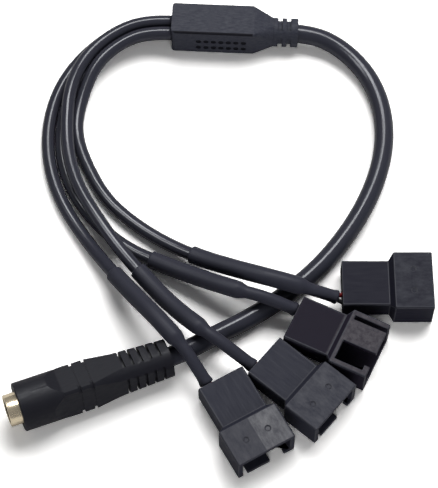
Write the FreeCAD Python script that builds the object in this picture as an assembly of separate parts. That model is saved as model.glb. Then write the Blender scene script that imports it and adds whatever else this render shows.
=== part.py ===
"""Fan power adapter cable: a barrel-jack socket, a moulded splitter and four fan connectors.

Millimetres, +Z up. The origin is the centre of the splitter's underside and +X runs along
the splitter towards the main cable. The cable lies on the plane Z = 0.
"""
import FreeCAD
import Part
import math
import os

from FreeCAD import Placement, Rotation, Vector

# Clearances
SOCKET_CLEARANCE = 0.03
SLEEVE_CLEARANCE = 0.05
LAY_GAP = 0.08
CLIMB_ROOM = 1.04
CROSSING_GAP = 0.40
TERMINAL_CLEARANCE = 0.15
PIN_HOLE_CLEARANCE = 0.05
CRIMP_CLEARANCE = 0.02
WIRE_GAP = 0.11
JACKET_GAP = 0.12

# Cables and wires
MAIN_DIAMETER = 4.1
BRANCH_DIAMETER = 2.8
WIRE_DIAMETER = 0.95

# Splitter: block, tapered nose and strain relief
SPLITTER_LENGTH = 18.0
SPLITTER_WIDTH = 8.0
SPLITTER_HEIGHT = 7.6
SPLITTER_EDGE = 0.5
SPLITTER_END_CORNER = 1.0
NOSE_LENGTH = 4.5
NOSE_END = 6.1
NOSE_END_CORNER = 2.9
RELIEF_DROP = 0.5
RELIEF_LENGTH = 5.4
RELIEF_DIAMETER = 6.3
RELIEF_SLOT_FIRST = 1.45
RELIEF_SLOT_PITCH = 1.9
RELIEF_SLOT_COUNT = 2
RELIEF_SLOT_WIDTH = 0.9
RELIEF_SLOT_DEPTH = 0.65
RELIEF_SOCKET_DEPTH = 4.0
SLOT_ANGLE = 145.0
SPINE_ANGLE = 45.0
DIMPLE_COUNT = 7
DIMPLE_PITCH = 1.65
DIMPLE_CENTRE = 2.0
DIMPLE_LOW_ROW = 2.1
DIMPLE_HIGH_ROW = 4.3
DIMPLE_DIAMETER = 1.2
DIMPLE_DEPTH = 0.25

# Jack overmould, measured along its axis from the mouth face
JACK_LENGTH = 31.66
JACK_NOSE_LENGTH = 6.0
JACK_NOSE_DIAMETER = 10.0
JACK_NOSE_CHAMFER = 0.2
JACK_GRIP_END = 15.3
JACK_GRIP_DIAMETER = 10.1
JACK_FLAT_SLOPE = 3.0
JACK_FLAT_HEIGHT = 3.8
JACK_NOTCH_FIRST = 12.2
JACK_NOTCH_SECOND = 14.8
JACK_NOTCH_WIDTH = 0.65
JACK_NOTCH_RADIUS = 4.6
JACK_GROOVE_WIDTH = 0.4
JACK_GROOVE_DEPTH = 0.12
JACK_TAPER_END = 20.5
JACK_RELIEF_DIAMETER = 8.74
JACK_COLLAR_DIAMETER = 7.8
JACK_SLOT_FIRST = 22.0
JACK_SLOT_PITCH = 1.9
JACK_SLOT_COUNT = 5
JACK_SLOT_WIDTH = 0.55
JACK_SLOT_RADIUS = 3.1
JACK_SOCKET_DEPTH = 3.0
JACK_END_X = -4.87
JACK_END_Y = -79.91
JACK_YAW = 23.83
JACK_ROLL = -17.0

# Jack contacts
JACK_SLEEVE_DIAMETER = 6.5
JACK_SLEEVE_BORE = 5.7
JACK_SLEEVE_OUT = 2.4
JACK_SLEEVE_IN = 9.0
JACK_GAP_WIDTH = 0.3
JACK_GAP_DEPTH = 1.2
JACK_PLUG_FRONT = 6.0
JACK_PLUG_BACK = 11.0
JACK_PIN_DIAMETER = 2.1
JACK_PIN_TIP = -1.4
JACK_PIN_HEAD_DIAMETER = 2.8
JACK_PIN_HEAD_LENGTH = 3.5

# Connector housing, measured from its rear face
HOUSING_REAR_WIDTH = 10.2
HOUSING_REAR_LENGTH = 9.6
HOUSING_REAR_LOW = 0.9
HOUSING_REAR_HIGH = 5.8
HOUSING_FLARE = 1.0
HOUSING_LENGTH = 18.5
HOUSING_FRONT_WIDTH = 12.8
HOUSING_HEIGHT = 7.2
HOUSING_EDGE = 0.25
CAVITY_WIDTH = 10.7
CAVITY_LOW = 1.0
CAVITY_HIGH = 6.2
KEY_RIM = 0.7
KEY_WALL_SIDE = 1.2
TONGUE_LEFT = 0.8
TONGUE_RIGHT = -4.3
LIP_SIZE = 1.2
MARK_OFFSET = 2.45
MARK_FROM_FRONT = 4.0
MARK_DIAMETER = 1.1
MARK_DEPTH = 0.15
CHANNEL_SIZE = 1.9
CHANNEL_LENGTH = 8.6
CHANNEL_MOUTH = 2.2
CHANNEL_MOUTH_DEPTH = 1.0
CHANNEL_HEIGHT = 3.35
TERMINAL_PITCH = 2.54

# Terminals, measured from the housing's rear face
TERMINAL_START = 2.2
TERMINAL_BARREL_END = 4.0
TERMINAL_BARREL = 1.4
WIRE_STRAIGHT = 2.6
WIRE_SPREAD = 1.2
WIRE_END = 3.5
PIN_SIZE = 0.64
PIN_END = 17.0

# Shrunk sleeves
SLEEVE_WALL = 0.4
SLEEVE_REACH = 33.7
SHOULDER_LENGTH = 1.6
NECK_DIAMETER = 2.6
NECK_WALL = 0.15
MOUTH_DIAMETER = 3.0
MOUTH_LENGTH = 1.2
MOUTH_GAP_1 = 1.1
MOUTH_GAP_2 = 0.75
MOUTH_GAP_3 = 0.75
MOUTH_GAP_4 = 1.2
JACKET_SETBACK = 0.5
SLEEVE_WIDE_1 = 21.5
SLEEVE_WIDE_2 = 19.5
SLEEVE_WIDE_3 = 20.5
SLEEVE_WIDE_4 = 24.5

# Where the housings lie: a point behind the rear face, the heading, how many of the neighbours'
# shoulders the housing is set aside by, and whether the tongue faces up
HOUSING_POSES = (
    (5.80, -84.45, -57.6, 0, False),
    (14.30, -79.10, -37.5, 0, False),
    (18.98, -72.94, -23.0, 2, True),
    (29.96, -67.49, 2.9, 4, False),
)

# Lay of the bundle: the third branch runs in the middle, the others beside or on it
EXIT_Y = -0.85
EXIT_HEIGHT = 2.2
EXIT_RUN = 5.6
BUNDLE_PLAN = (
    (-20.9, -3.9),
    (-26.4, -9.5),
    (-30.2, -16.9),
    (-31.6, -25.5),
    (-30.7, -34.0),
    (-27.5, -42.0),
    (-22.0, -49.0),
)
SHARES_1 = (1.0, 1.0, 1.0, 1.0, 1.0, 1.0, 1.0, 1.08, 1.35)
SHARES_2 = (0.5, 0.5, 0.5, 0.45, 0.0, -0.45, -0.5, -0.38, -0.07)
SHARES_4 = (-0.5, -0.5, -0.5, -0.55, -0.95, -1.02, -1.5)

MAIN_RADIUS = MAIN_DIAMETER / 2
BRANCH_RADIUS = BRANCH_DIAMETER / 2
WIRE_RADIUS = WIRE_DIAMETER / 2
SLEEVE_BORE_RADIUS = BRANCH_RADIUS + SLEEVE_CLEARANCE
SLEEVE_RADIUS = SLEEVE_BORE_RADIUS + SLEEVE_WALL
NECK_RADIUS = NECK_DIAMETER / 2
MOUTH_RADIUS = MOUTH_DIAMETER / 2
WIRE_OFFSET = (WIRE_DIAMETER + WIRE_GAP) / 2
BUNDLE_PITCH = BRANCH_DIAMETER + LAY_GAP
OVER_MAIN = MAIN_DIAMETER + CROSSING_GAP + SLEEVE_RADIUS
SPLITTER_AXIS = SPLITTER_HEIGHT / 2
SPLITTER_FACE = SPLITTER_LENGTH / 2
RELIEF_START = SPLITTER_FACE + NOSE_LENGTH
RELIEF_END = RELIEF_START + RELIEF_LENGTH
RELIEF_AXIS = SPLITTER_AXIS - RELIEF_DROP
SLEEVE_WIDE = (SLEEVE_WIDE_1, SLEEVE_WIDE_2, SLEEVE_WIDE_3, SLEEVE_WIDE_4)
MOUTH_GAPS = (MOUTH_GAP_1, MOUTH_GAP_2, MOUTH_GAP_3, MOUTH_GAP_4)
X_AXIS = Vector(1, 0, 0)
Y_AXIS = Vector(0, 1, 0)
Z_AXIS = Vector(0, 0, 1)


def route(name, points):
    """Edges of straight runs joined by tangent arcs through the corners of a route."""
    corners = [Vector(*point) for point in points]
    edges = []
    radii = []
    last = corners[0]
    for before, corner, after in zip(corners, corners[1:], corners[2:]):
        back = before - corner
        ahead = after - corner
        reach = 0.45 * min(back.Length, ahead.Length)
        back.normalize()
        ahead.normalize()
        half_turn = (math.pi - back.getAngle(ahead)) / 2
        radius = reach / math.tan(half_turn)
        start = corner + back * reach
        end = corner + ahead * reach
        inward = back + ahead
        inward.normalize()
        middle = corner + inward * (radius / math.cos(half_turn) - radius)
        edges.append(Part.LineSegment(last, start).toShape())
        edges.append(Part.Arc(start, middle, end).toShape())
        radii.append(radius)
        last = end
    edges.append(Part.LineSegment(last, corners[-1]).toShape())
    length = sum(edge.Length for edge in edges)
    print(name, "length %.1f" % length, "radii", " ".join("%.1f" % radius for radius in radii))
    return edges


def stretch(edges, start, end):
    """The part of a route between two distances along it."""
    kept = []
    passed = 0.0
    for edge in edges:
        first = max(start - passed, 0.0)
        last = min(end - passed, edge.Length)
        if last - first > 1e-6:
            kept.append(edge.Curve.toShape(edge.getParameterByLength(first), edge.getParameterByLength(last)))
        passed += edge.Length
    return kept


def route_length(edges):
    """Length of a route."""
    return sum(edge.Length for edge in edges)


def ring_at(edge, parameter, radius):
    """A circle square to an edge."""
    return Part.Wire(Part.makeCircle(radius, edge.valueAt(parameter), edge.tangentAt(parameter)))


def tube(edges, radius):
    """A round solid along a route."""
    ring = ring_at(edges[0], edges[0].FirstParameter, radius)
    return Part.Wire(edges).makePipeShell([ring], True, True)


def cone(edges, start_radius, end_radius):
    """A straight cone between the two ends of a short stretch."""
    first = ring_at(edges[0], edges[0].FirstParameter, start_radius)
    last = ring_at(edges[-1], edges[-1].LastParameter, end_radius)
    return Part.makeLoft([first, last], True, True)


def joined(shapes):
    """One solid from shapes that touch or overlap."""
    result = shapes[0]
    for shape in shapes[1:]:
        result = result.fuse(shape)
    return result.removeSplitter()


def box(x_range, y_range, z_range):
    """A box from three ranges."""
    corner = Vector(x_range[0], y_range[0], z_range[0])
    return Part.makeBox(x_range[1] - x_range[0], y_range[1] - y_range[0], z_range[1] - z_range[0], corner)


def span(centre, size):
    """The range of a size about its centre."""
    return (centre - size / 2, centre + size / 2)


def cylinder(start, end, radius, centre_height=0.0):
    """A cylinder along X."""
    return Part.makeCylinder(radius, end - start, Vector(start, 0, centre_height), X_AXIS)


def rounded_section(x, width, height, corner, centre_height):
    """A rectangle with rounded corners, square to X."""
    half = width / 2
    rise = height / 2
    low = corner - half
    foot = corner - rise
    cut = corner * (1 - math.sqrt(0.5))

    def at(y, z):
        return Vector(x, y, z + centre_height)

    edges = [
        Part.LineSegment(at(low, -rise), at(-low, -rise)).toShape(),
        Part.Arc(at(-low, -rise), at(half - cut, cut - rise), at(half, foot)).toShape(),
        Part.LineSegment(at(half, foot), at(half, -foot)).toShape(),
        Part.Arc(at(half, -foot), at(half - cut, rise - cut), at(-low, rise)).toShape(),
        Part.LineSegment(at(-low, rise), at(low, rise)).toShape(),
        Part.Arc(at(low, rise), at(cut - half, rise - cut), at(-half, -foot)).toShape(),
        Part.LineSegment(at(-half, -foot), at(-half, foot)).toShape(),
        Part.Arc(at(-half, foot), at(cut - half, cut - rise), at(low, -rise)).toShape(),
    ]
    return Part.Wire(edges)


def chamfered_section(x, y_half, z_low, z_high, edge):
    """A rectangle with chamfered corners, square to X."""
    outline = [
        (y_half - edge, z_low),
        (y_half, z_low + edge),
        (y_half, z_high - edge),
        (y_half - edge, z_high),
        (edge - y_half, z_high),
        (-y_half, z_high - edge),
        (-y_half, z_low + edge),
        (edge - y_half, z_low),
    ]
    points = [Vector(x, y, z) for y, z in outline]
    return Part.makePolygon(points + points[:1])


def flat_sided(first, last):
    """A solid with flat sides between two polygons of alike edges."""
    near = [vertex.Point for vertex in first.OrderedVertexes]
    far = [vertex.Point for vertex in last.OrderedVertexes]
    faces = [Part.Face(first), Part.Face(last)]
    for index in range(len(near)):
        after = (index + 1) % len(near)
        side = [near[index], near[after], far[after], far[index], near[index]]
        faces.append(Part.Face(Part.makePolygon(side)))
    return Part.Solid(Part.Shell(faces))


def slot_ring(start, width, inner, outer, centre_height):
    """Two separate slots round an axis along X, with a spine left between their ends."""
    slots = []
    core = cylinder(start, start + width, inner, centre_height)
    base = Vector(start, 0, centre_height)
    for side in (-90, 90):
        wedge = Part.makeCylinder(outer, width, base, X_AXIS, SLOT_ANGLE)
        wedge.rotate(base, X_AXIS, SPINE_ANGLE + side - SLOT_ANGLE / 2)
        slots.append(wedge.cut(core))
    return slots


def splitter_body():
    """Block, nose and slotted strain relief in one moulding."""
    section = rounded_section(-SPLITTER_FACE, SPLITTER_WIDTH, SPLITTER_HEIGHT, SPLITTER_EDGE, SPLITTER_AXIS)
    block = Part.Face(section).extrude(Vector(SPLITTER_LENGTH, 0, 0))
    half = SPLITTER_WIDTH / 2
    corner = SPLITTER_END_CORNER
    cut = corner * (1 - math.sqrt(0.5))
    left = -SPLITTER_FACE
    outline = [
        Part.LineSegment(Vector(SPLITTER_FACE, -half, 0), Vector(SPLITTER_FACE, half, 0)).toShape(),
        Part.LineSegment(Vector(SPLITTER_FACE, half, 0), Vector(left + corner, half, 0)).toShape(),
        Part.Arc(
            Vector(left + corner, half, 0),
            Vector(left + cut, half - cut, 0),
            Vector(left, half - corner, 0),
        ).toShape(),
        Part.LineSegment(Vector(left, half - corner, 0), Vector(left, corner - half, 0)).toShape(),
        Part.Arc(
            Vector(left, corner - half, 0),
            Vector(left + cut, cut - half, 0),
            Vector(left + corner, -half, 0),
        ).toShape(),
        Part.LineSegment(Vector(left + corner, -half, 0), Vector(SPLITTER_FACE, -half, 0)).toShape(),
    ]
    block = block.common(Part.Face(Part.Wire(outline)).extrude(Vector(0, 0, SPLITTER_HEIGHT)))
    wide_end = rounded_section(SPLITTER_FACE, SPLITTER_WIDTH, SPLITTER_HEIGHT, SPLITTER_EDGE, SPLITTER_AXIS)
    narrow_end = rounded_section(RELIEF_START, NOSE_END, NOSE_END, NOSE_END_CORNER, RELIEF_AXIS)
    nose = Part.makeLoft([wide_end, narrow_end], True, True)
    relief = cylinder(RELIEF_START, RELIEF_END, RELIEF_DIAMETER / 2, RELIEF_AXIS)
    body = joined([block, nose, relief])
    outer = RELIEF_DIAMETER
    inner = RELIEF_DIAMETER / 2 - RELIEF_SLOT_DEPTH
    for index in range(RELIEF_SLOT_COUNT):
        start = RELIEF_START + RELIEF_SLOT_FIRST + index * RELIEF_SLOT_PITCH - RELIEF_SLOT_WIDTH / 2
        for slot in slot_ring(start, RELIEF_SLOT_WIDTH, inner, outer, RELIEF_AXIS):
            body = body.cut(slot)
    bore = MAIN_RADIUS + SOCKET_CLEARANCE
    body = body.cut(cylinder(RELIEF_END - RELIEF_SOCKET_DEPTH, RELIEF_END, bore, RELIEF_AXIS))
    for index in range(DIMPLE_COUNT):
        x = DIMPLE_CENTRE + (index - (DIMPLE_COUNT - 1) / 2) * DIMPLE_PITCH
        for height in (DIMPLE_LOW_ROW, DIMPLE_HIGH_ROW):
            base = Vector(x, -half, height)
            body = body.cut(Part.makeCylinder(DIMPLE_DIAMETER / 2, DIMPLE_DEPTH, base, Y_AXIS))
    return body


def turned(profile):
    """A solid of revolution about X from a list of distances along it and radii."""
    points = [Vector(x, 0, radius) for x, radius in profile]
    face = Part.Face(Part.makePolygon(points + points[:1]))
    return face.revolve(Vector(0, 0, 0), X_AXIS, 360)


def jack_overmould():
    """Nose, grip with four flats and slotted strain relief, with the bore for the contacts."""
    nose = JACK_NOSE_DIAMETER / 2
    grip = JACK_GRIP_DIAMETER / 2
    half_notch = JACK_NOTCH_WIDTH / 2
    body = turned([
        (0, 0),
        (0, nose - JACK_NOSE_CHAMFER),
        (JACK_NOSE_CHAMFER, nose),
        (JACK_NOSE_LENGTH + JACK_FLAT_SLOPE, nose),
        (JACK_NOSE_LENGTH + JACK_FLAT_SLOPE, grip),
        (JACK_NOTCH_FIRST - half_notch, grip),
        (JACK_NOTCH_FIRST - half_notch, JACK_NOTCH_RADIUS),
        (JACK_NOTCH_FIRST + half_notch, JACK_NOTCH_RADIUS),
        (JACK_NOTCH_FIRST + half_notch, grip),
        (JACK_NOTCH_SECOND - half_notch, grip),
        (JACK_NOTCH_SECOND - half_notch, JACK_NOTCH_RADIUS),
        (JACK_NOTCH_SECOND + half_notch, JACK_NOTCH_RADIUS),
        (JACK_NOTCH_SECOND + half_notch, grip),
        (JACK_GRIP_END, grip),
        (JACK_TAPER_END, JACK_RELIEF_DIAMETER / 2),
        (JACK_LENGTH, JACK_COLLAR_DIAMETER / 2),
        (JACK_LENGTH, 0),
    ])
    side = [
        (JACK_NOSE_LENGTH, nose),
        (JACK_NOSE_LENGTH + JACK_FLAT_SLOPE, JACK_FLAT_HEIGHT),
        (JACK_LENGTH + grip, JACK_FLAT_HEIGHT),
        (JACK_LENGTH + grip, 2 * grip),
        (JACK_NOSE_LENGTH, 2 * grip),
    ]
    points = [Vector(x, -grip, z) for x, z in side]
    pad = Part.Face(Part.makePolygon(points + points[:1])).extrude(Vector(0, 2 * grip, 0))
    grooves = []
    for place in (JACK_NOTCH_FIRST, JACK_NOTCH_SECOND):
        depth = (JACK_FLAT_HEIGHT - JACK_GROOVE_DEPTH, grip)
        grooves.append(box(span(place, JACK_GROOVE_WIDTH), (-grip, grip), depth))
    for quarter in range(4):
        for tool in (pad, *grooves):
            cutter = tool.copy()
            cutter.rotate(Vector(0, 0, 0), X_AXIS, 90 * quarter)
            body = body.cut(cutter)
    for index in range(JACK_SLOT_COUNT):
        start = JACK_SLOT_FIRST + index * JACK_SLOT_PITCH - JACK_SLOT_WIDTH / 2
        for slot in slot_ring(start, JACK_SLOT_WIDTH, JACK_SLOT_RADIUS, JACK_RELIEF_DIAMETER, 0.0):
            body = body.cut(slot)
    sleeve = JACK_SLEEVE_DIAMETER / 2
    head = JACK_PIN_HEAD_DIAMETER / 2
    head_end = JACK_PLUG_FRONT + JACK_PIN_HEAD_LENGTH
    bore = joined([
        cylinder(0, JACK_PLUG_BACK, sleeve + SOCKET_CLEARANCE),
        cylinder(0, JACK_GAP_DEPTH, sleeve + JACK_GAP_WIDTH),
    ])
    if head_end > JACK_PLUG_BACK:
        bore = joined([bore, cylinder(JACK_PLUG_BACK, head_end, head + SOCKET_CLEARANCE)])
    body = body.cut(bore)
    return body.cut(cylinder(JACK_LENGTH - JACK_SOCKET_DEPTH, JACK_LENGTH, MAIN_RADIUS + SOCKET_CLEARANCE))


def jack_sleeve():
    """Contact sleeve that stands out of the mouth."""
    outer = cylinder(-JACK_SLEEVE_OUT, JACK_SLEEVE_IN, JACK_SLEEVE_DIAMETER / 2)
    return outer.cut(cylinder(-JACK_SLEEVE_OUT, JACK_SLEEVE_IN, JACK_SLEEVE_BORE / 2))


def jack_insulator():
    """Plug behind the sleeve and in its bore, with a hole for the pin's head."""
    plug = joined([
        cylinder(JACK_PLUG_FRONT, JACK_SLEEVE_IN, JACK_SLEEVE_BORE / 2 - SOCKET_CLEARANCE),
        cylinder(JACK_SLEEVE_IN, JACK_PLUG_BACK, JACK_SLEEVE_DIAMETER / 2),
    ])
    head = JACK_PIN_HEAD_DIAMETER / 2 + SOCKET_CLEARANCE
    return plug.cut(cylinder(JACK_PLUG_FRONT, JACK_PLUG_FRONT + JACK_PIN_HEAD_LENGTH, head))


def jack_centre_pin():
    """Pin on the axis, with a larger head held by the plug."""
    head_end = JACK_PLUG_FRONT + JACK_PIN_HEAD_LENGTH
    return joined([
        cylinder(JACK_PIN_TIP, JACK_PLUG_FRONT, JACK_PIN_DIAMETER / 2),
        cylinder(JACK_PLUG_FRONT, head_end, JACK_PIN_HEAD_DIAMETER / 2),
    ])


def jack_placement():
    """The jack lies on the rear of its nose and on the end of its strain relief."""
    drop = (JACK_NOSE_DIAMETER - JACK_COLLAR_DIAMETER) / 2
    seat = JACK_NOSE_LENGTH + JACK_FLAT_SLOPE / 4
    pitch = math.degrees(math.atan2(drop, JACK_LENGTH - seat))
    turn = Rotation(Z_AXIS, JACK_YAW) * Rotation(Y_AXIS, pitch)
    end_height = JACK_COLLAR_DIAMETER / 2 * math.cos(math.radians(pitch))
    mouth = Vector(JACK_END_X, JACK_END_Y, end_height) - turn.multVec(X_AXIS) * JACK_LENGTH
    return Placement(mouth, turn * Rotation(X_AXIS, JACK_ROLL))


def terminal_positions():
    """The four channel centres across the housing, from left to right."""
    return [TERMINAL_PITCH * step for step in (1.5, 0.5, -0.5, -1.5)]


def connector_housing():
    """Keyed shroud: rear block with four channels, flare, cavity and a tongue between two slots."""
    rear_half = HOUSING_REAR_WIDTH / 2
    front_half = HOUSING_FRONT_WIDTH / 2
    flare_end = HOUSING_REAR_LENGTH + HOUSING_FLARE
    rear = chamfered_section(0, rear_half, HOUSING_REAR_LOW, HOUSING_REAR_HIGH, HOUSING_EDGE)
    waist = chamfered_section(
        HOUSING_REAR_LENGTH, rear_half, HOUSING_REAR_LOW, HOUSING_REAR_HIGH, HOUSING_EDGE)
    mouth = chamfered_section(flare_end, front_half, 0, HOUSING_HEIGHT, HOUSING_EDGE)
    body = joined([
        Part.Face(rear).extrude(Vector(HOUSING_REAR_LENGTH, 0, 0)),
        flat_sided(waist, mouth),
        Part.Face(mouth).extrude(Vector(HOUSING_LENGTH - flare_end, 0, 0)),
    ])
    reach = (flare_end, HOUSING_LENGTH)
    body = body.cut(box(reach, span(0, CAVITY_WIDTH), (CAVITY_LOW, CAVITY_HIGH)))
    slot_reach = (flare_end + KEY_RIM, HOUSING_LENGTH)
    slot_side = front_half - KEY_WALL_SIDE
    body = body.cut(box(slot_reach, (TONGUE_LEFT, slot_side), (0, CAVITY_LOW)))
    body = body.cut(box(slot_reach, (-slot_side, TONGUE_RIGHT), (0, CAVITY_LOW)))
    lip = box((HOUSING_LENGTH - LIP_SIZE, HOUSING_LENGTH), (slot_side - LIP_SIZE, slot_side), (0, CAVITY_LOW))
    body = joined([body, lip])
    for side in (-MARK_OFFSET, MARK_OFFSET):
        base = Vector(HOUSING_LENGTH - MARK_FROM_FRONT, side, HOUSING_HEIGHT - MARK_DEPTH)
        body = body.cut(Part.makeCylinder(MARK_DIAMETER / 2, MARK_DEPTH, base))
    hole = PIN_SIZE + 2 * PIN_HOLE_CLEARANCE
    for position in terminal_positions():
        channel = span(position, CHANNEL_SIZE)
        body = body.cut(box((0, CHANNEL_LENGTH), channel, span(CHANNEL_HEIGHT, CHANNEL_SIZE)))
        mouth_span = span(position, CHANNEL_MOUTH)
        body = body.cut(box((0, CHANNEL_MOUTH_DEPTH), mouth_span, span(CHANNEL_HEIGHT, CHANNEL_MOUTH)))
        body = body.cut(box((CHANNEL_LENGTH, flare_end), span(position, hole), span(CHANNEL_HEIGHT, hole)))
    return body


def terminal(position):
    """Crimp barrel, body and square pin of one contact."""
    size = CHANNEL_SIZE - 2 * TERMINAL_CLEARANCE
    barrel = span(position, TERMINAL_BARREL)
    body = joined([
        box((TERMINAL_START, TERMINAL_BARREL_END), barrel, span(CHANNEL_HEIGHT, TERMINAL_BARREL)),
        box((TERMINAL_BARREL_END, CHANNEL_LENGTH), span(position, size), span(CHANNEL_HEIGHT, size)),
        box((CHANNEL_LENGTH, PIN_END), span(position, PIN_SIZE), span(CHANNEL_HEIGHT, PIN_SIZE)),
    ])
    start = Vector(TERMINAL_START, position, CHANNEL_HEIGHT)
    hole = Part.makeCylinder(WIRE_RADIUS + CRIMP_CLEARANCE, WIRE_END - TERMINAL_START, start, X_AXIS)
    return body.cut(hole)


def housing_placement(index):
    """Where one housing lies."""
    x, y, yaw, shoulders, tongue_up = HOUSING_POSES[index]
    turn = Rotation(Z_AXIS, yaw)
    shoulder = (HOUSING_FRONT_WIDTH - HOUSING_REAR_WIDTH) / 2
    rear = Vector(x, y, 0) + turn.multVec(Y_AXIS) * (shoulders * shoulder)
    height = 0.0
    if tongue_up:
        turn = turn * Rotation(X_AXIS, 180)
        height = HOUSING_HEIGHT
    return Placement(rear + Z_AXIS * height, turn)


def turned_over(index):
    """-1 for a housing that lies with its tongue up, otherwise 1."""
    return -1 if HOUSING_POSES[index][-1] else 1


def wire_entry(index):
    """The middle of the two wired channels, on the rear face."""
    return housing_placement(index).multVec(Vector(0, -TERMINAL_PITCH, CHANNEL_HEIGHT))


def bundle_plan():
    """Plan of the middle cable, with the side step of a neighbour at each corner."""
    plan = [(-SPLITTER_FACE, EXIT_Y), (-SPLITTER_FACE - EXIT_RUN, EXIT_Y)] + list(BUNDLE_PLAN)
    points = [Vector(x, y, 0) for x, y in plan]
    steps = []
    for index, point in enumerate(points):
        before = point - points[max(index - 1, 0)]
        after = points[min(index + 1, len(points) - 1)] - point
        if before.Length == 0:
            before = after
        if after.Length == 0:
            after = before
        before = before.normalize()
        ahead = before + Vector(after).normalize()
        ahead.normalize()
        steps.append(Vector(ahead.y, -ahead.x, 0) * (1 / before.dot(ahead)))
    return points, steps


def bundle_heights():
    """Heights of the middle cable at the corners of the bundle."""
    sloping = BRANCH_RADIUS + (EXIT_HEIGHT - BRANCH_RADIUS) / 2
    return [EXIT_HEIGHT, EXIT_HEIGHT, sloping] + [BRANCH_RADIUS] * (len(BUNDLE_PLAN) - 1)


def laid(shares, pitch):
    """Corners of a cable beside or on the middle one, as shares of a pitch between the two."""
    points, steps = bundle_plan()
    corners = []
    for point, step, height, share in zip(points, steps, bundle_heights(), shares):
        rise = math.sqrt(max(0.0, 1 - share * share)) * pitch
        place = point + step * (share * pitch)
        corners.append((place.x, place.y, height + rise))
    return corners


def branch_corners():
    """Corners of the four branch routes, from the splitter to the housings."""
    points, steps = bundle_plan()
    middle = [(point.x, point.y, height) for point, height in zip(points, bundle_heights())]
    floor = BRANCH_RADIUS
    first = laid(SHARES_1, BUNDLE_PITCH) + [
        (-19.5, -58.6, floor + 1.1),
        (-13.5, -66.2, OVER_MAIN - 1.0),
        (-7.0, -73.6, OVER_MAIN + 1.95),
        (-0.6, -80.4, OVER_MAIN + 1.25),
    ]
    second = laid(SHARES_2, BUNDLE_PITCH * CLIMB_ROOM) + [
        (-16.5, -56.0, floor + 2.65),
        (-10.5, -62.5, floor + 2.1),
        (-4.5, -69.0, floor + 3.2),
        (1.3, -74.4, OVER_MAIN + 0.75),
        (6.8, -77.8, OVER_MAIN - 0.05),
    ]
    third = middle + [
        (-15.5, -54.3, floor),
        (-8.0, -58.0, floor + 0.9),
        (0.0, -61.6, floor + 2.5),
        (8.0, -65.0, OVER_MAIN - 0.3),
        (15.5, -66.9, OVER_MAIN - 0.1),
    ]
    fourth = laid(SHARES_4, BUNDLE_PITCH * CLIMB_ROOM) + [
        (-21.0, -42.5, floor),
        (-14.5, -48.3, floor),
        (-7.5, -52.8, floor + 0.3),
        (0.0, -56.6, floor + 1.5),
        (8.0, -59.8, floor + 3.5),
        (15.5, -62.4, OVER_MAIN + 0.3),
        (22.0, -63.9, OVER_MAIN - 0.1),
    ]
    corners = [first, second, third, fourth]
    for index, points in enumerate(corners):
        entry = wire_entry(index)
        points.append((entry.x, entry.y, entry.z))
    return corners


def main_corners():
    """Corners of the main route, from the splitter to the jack."""
    placement = jack_placement()
    floor = MAIN_RADIUS
    leave = placement.multVec(Vector(JACK_LENGTH + 2.7, 0, 0))
    end = placement.multVec(Vector(JACK_LENGTH - JACK_SOCKET_DEPTH, 0, 0))
    return [
        (RELIEF_END - RELIEF_SOCKET_DEPTH, 0.0, RELIEF_AXIS),
        (RELIEF_END + 2.7, 0.0, RELIEF_AXIS),
        (28.2, -2.7, floor + 0.6),
        (34.3, -8.8, floor),
        (37.7, -17.0, floor),
        (38.5, -26.0, floor),
        (37.0, -35.0, floor),
        (33.8, -43.5, floor),
        (29.3, -51.5, floor),
        (24.0, -58.5, floor),
        (17.5, -64.7, floor),
        (10.5, -70.0, floor),
        (3.5, -74.3, floor + 0.35),
        (leave.x, leave.y, leave.z),
        (end.x, end.y, end.z),
    ]


def shrunk_sleeve(edges, wide_length, mouth_gap):
    """Sleeve on the end of a branch: wide part on the jacket, shoulder, neck on the wires, mouth."""
    end = route_length(edges) - mouth_gap
    start = route_length(edges) - SLEEVE_REACH
    shoulder = start + wide_length
    neck = shoulder + SHOULDER_LENGTH
    mouth = end - MOUTH_LENGTH
    neck_bore = NECK_RADIUS - NECK_WALL
    mouth_bore = MOUTH_RADIUS - NECK_WALL
    wide = stretch(edges, start, shoulder)
    slope = stretch(edges, shoulder, neck)
    narrow = stretch(edges, neck, mouth)
    flare = stretch(edges, mouth, end)
    return joined([
        tube(wide, SLEEVE_RADIUS).cut(tube(wide, SLEEVE_BORE_RADIUS)),
        cone(slope, SLEEVE_RADIUS, NECK_RADIUS).cut(cone(slope, SLEEVE_BORE_RADIUS, neck_bore)),
        tube(narrow, NECK_RADIUS).cut(tube(narrow, neck_bore)),
        cone(flare, NECK_RADIUS, MOUTH_RADIUS).cut(cone(flare, neck_bore, mouth_bore)),
    ])


def jacket_end(edges, wide_length):
    """Distance along a branch at which its jacket stops inside the sleeve."""
    return route_length(edges) - SLEEVE_REACH + wide_length - JACKET_SETBACK


def corners_after(edges, begin):
    """Start and corners of the rest of a route."""
    rest = stretch(edges, begin, route_length(edges))
    points = [rest[0].valueAt(rest[0].FirstParameter)]
    for edge in rest:
        if edge.Curve.TypeId == "Part::GeomCircle":
            turn = edge.LastParameter - edge.FirstParameter
            reach = edge.Curve.Radius * math.tan(turn / 2)
            points.append(edge.valueAt(edge.FirstParameter) + edge.tangentAt(edge.FirstParameter) * reach)
    if len(points) > 2 and (points[1] - points[0]).Length < WIRE_DIAMETER:
        points.pop(1)
    return points


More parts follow.
